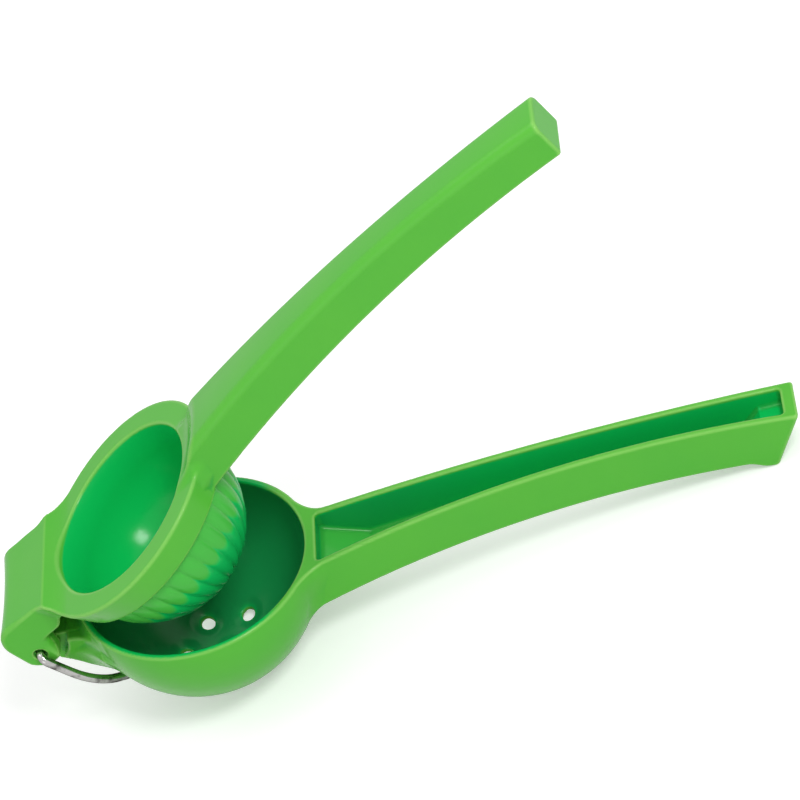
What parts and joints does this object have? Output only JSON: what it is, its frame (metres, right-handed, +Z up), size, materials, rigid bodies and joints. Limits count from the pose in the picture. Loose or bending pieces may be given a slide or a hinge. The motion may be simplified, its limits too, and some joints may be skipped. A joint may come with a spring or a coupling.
{
  "type": "hinged lemon squeezer",
  "caption": "Hinged hand squeezer for lemons: an enamelled arm with a fluted press dome swings down into a strainer bowl, and its steel hinge ring is the hanging loop.",
  "frame": {"origin": "centre of the bounding box in plan, on the level surface that the bowl and the handle's foot stand on", "axes": "+X from the hinge to the handle tips, +Y across the squeezer towards its far side, +Z up"},
  "size_m": [0.2114, 0.0642, 0.1294],
  "materials": {
    "green_enamel": "gloss",
    "ring_steel": "polished"
  },
  "bodies": {
    "lower": {"lower_casting": "green_enamel"},
    "arm": {"upper_casting": "green_enamel"},
    "ring": {"hinge_ring": "ring_steel"}
  },
  "joints": [
    {"name": "arm_hinge", "type": "hinge", "parent": "lower", "child": "arm", "pos_m": [-0.09812, 0, 0.03928], "axis": [0, -1, 0], "range_deg": [-29.4, 60]},
    {"name": "ring_swing", "type": "hinge", "parent": "lower", "child": "ring", "pos_m": [-0.09812, 0, 0.03928], "axis": [0, 1, 0], "range_deg": [0, 150]}
  ]
}
